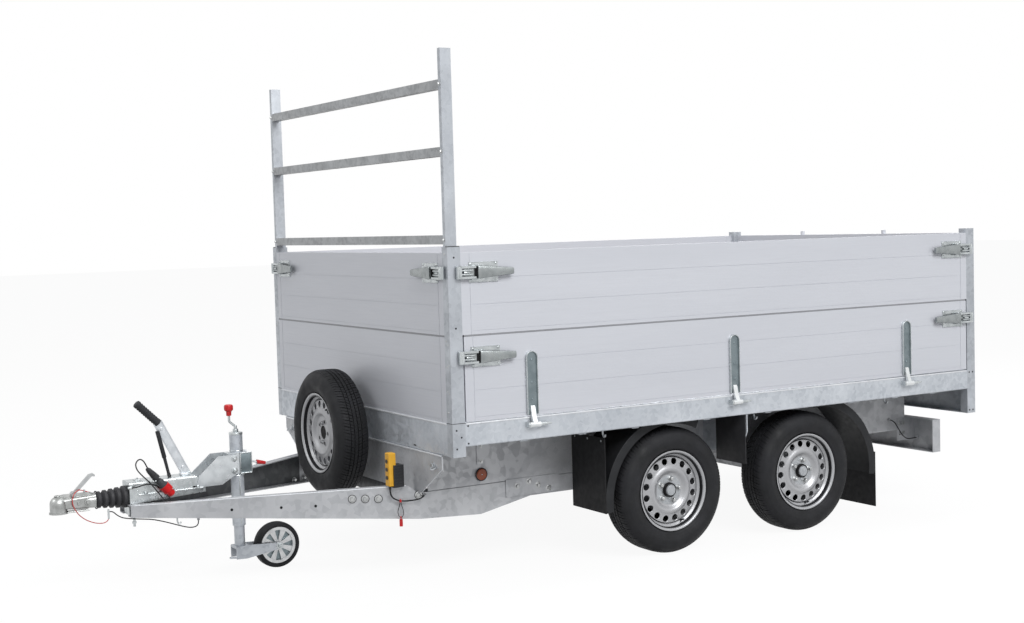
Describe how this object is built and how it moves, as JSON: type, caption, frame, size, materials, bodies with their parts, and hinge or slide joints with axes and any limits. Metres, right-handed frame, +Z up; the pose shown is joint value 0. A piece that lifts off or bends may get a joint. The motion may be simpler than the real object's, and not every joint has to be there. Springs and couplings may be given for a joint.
{
  "type": "tandem-axle drop-side utility trailer",
  "caption": "Galvanised tandem-axle utility trailer with folding aluminium drop sides, board extensions, ladder rack, spare wheel, overrun coupling and jockey wheel.",
  "frame": {"origin": "on the ground, under the middle of the overall length and width", "axes": "+X forward towards the coupling, +Y to the trailer's left, +Z up"},
  "size_m": [4.804, 2.094, 2.388],
  "materials": {
    "aluminium_board": "satin anodised",
    "black_plastic": "moulded black",
    "cable_black": "black sheathed cable",
    "galvanised_steel": "mottled hot-dip galvanised",
    "jockey_roller": "rubber tread on a pressed steel wheel",
    "lamp_lens": "red and amber lens",
    "phenolic_plywood": "brown film-faced plywood",
    "red_plastic": "red plastic",
    "rubber": "matt rubber",
    "silver_rim": "silver paint",
    "tyre_rubber": "matt tyre rubber",
    "yellow_plastic": "yellow plastic",
    "zinc_fittings": "bright zinc plate"
  },
  "bodies": {
    "chassis": {"axles": "galvanised_steel", "bellows": "rubber", "brake_lead": "cable_black", "breakaway_cable": "red_plastic", "cable_link": "zinc_fittings", "chassis_beams": "galvanised_steel", "corner_posts": "galvanised_steel", "coupling_handle": "galvanised_steel", "coupling_head": "galvanised_steel", "cross_members": "galvanised_steel", "drawbars": "galvanised_steel", "floor": "phenolic_plywood", "front_board_lower": "aluminium_board", "front_cross_plate": "galvanised_steel", "front_posts_upper": "galvanised_steel", "front_rail": "galvanised_steel", "gas_strut": "black_plastic", "handbrake_lever": "zinc_fittings", "hinge_pins": "zinc_fittings", "jockey_clamp": "galvanised_steel", "jockey_crank": "red_plastic", "jockey_tube": "galvanised_steel", "key_loop": "cable_black", "key_tag": "red_plastic", "ladder_rails": "galvanised_steel", "ladder_uprights": "galvanised_steel", "lamp_lead": "cable_black", "lamps": "lamp_lens", "light_bar": "galvanised_steel", "mud_flaps": "rubber", "mudguards": "black_plastic", "overrun_housing": "galvanised_steel", "pendant": "yellow_plastic", "pendant_holder": "black_plastic", "pendant_lead": "cable_black", "plug": "black_plastic", "plug_lead": "cable_black", "rear_sill": "galvanised_steel", "side_rails": "galvanised_steel", "spare_carrier": "galvanised_steel", "spare_rim": "silver_rim", "spare_tyre": "tyre_rubber", "upper_boards": "aluminium_board", "upper_latches": "zinc_fittings"},
    "left_board": {"left_board_lower": "aluminium_board", "left_fittings": "zinc_fittings"},
    "right_board": {"right_board_lower": "aluminium_board", "right_fittings": "zinc_fittings"},
    "tail_board": {"tail_board_lower": "aluminium_board", "tail_fittings": "zinc_fittings"},
    "jockey_swivel": {"jockey_fork": "galvanised_steel"},
    "jockey_roller": {"jockey_wheel": "jockey_roller"},
    "wheel_front_left": {"tyre_front_left": "tyre_rubber", "rim_front_left": "silver_rim"},
    "wheel_front_right": {"tyre_front_right": "tyre_rubber", "rim_front_right": "silver_rim"},
    "wheel_rear_left": {"tyre_rear_left": "tyre_rubber", "rim_rear_left": "silver_rim"},
    "wheel_rear_right": {"tyre_rear_right": "tyre_rubber", "rim_rear_right": "silver_rim"}
  },
  "joints": [
    {"name": "left_board_fold", "type": "hinge", "parent": "chassis", "child": "left_board", "pos_m": [-0.678, 1.032, 0.717], "axis": [-1, 0, 0], "range_deg": [0, 180]},
    {"name": "right_board_fold", "type": "hinge", "parent": "chassis", "child": "right_board", "pos_m": [-0.678, -1.032, 0.717], "axis": [1, 0, 0], "range_deg": [0, 180]},
    {"name": "tail_board_fold", "type": "hinge", "parent": "chassis", "child": "tail_board", "pos_m": [-2.387, 0, 0.717], "axis": [0, -1, 0], "range_deg": [0, 180]},
    {"name": "wheel_front_left_spin", "type": "hinge", "parent": "chassis", "child": "wheel_front_left", "pos_m": [-0.3345, 0.873, 0.308], "axis": [0, 1, 0], "continuous": true},
    {"name": "wheel_front_right_spin", "type": "hinge", "parent": "chassis", "child": "wheel_front_right", "pos_m": [-0.3345, -0.873, 0.308], "axis": [0, 1, 0], "continuous": true},
    {"name": "wheel_rear_left_spin", "type": "hinge", "parent": "chassis", "child": "wheel_rear_left", "pos_m": [-1.18, 0.873, 0.308], "axis": [0, 1, 0], "continuous": true},
    {"name": "wheel_rear_right_spin", "type": "hinge", "parent": "chassis", "child": "wheel_rear_right", "pos_m": [-1.18, -0.873, 0.308], "axis": [0, 1, 0], "continuous": true},
    {"name": "jockey_steer", "type": "hinge", "parent": "chassis", "child": "jockey_swivel", "pos_m": [1.521, 0, 0.4], "axis": [0, 0, 1], "continuous": true},
    {"name": "jockey_spin", "type": "hinge", "parent": "jockey_swivel", "child": "jockey_roller", "pos_m": [1.337, 0, 0.11], "axis": [0, 1, 0], "continuous": true}
  ]
}
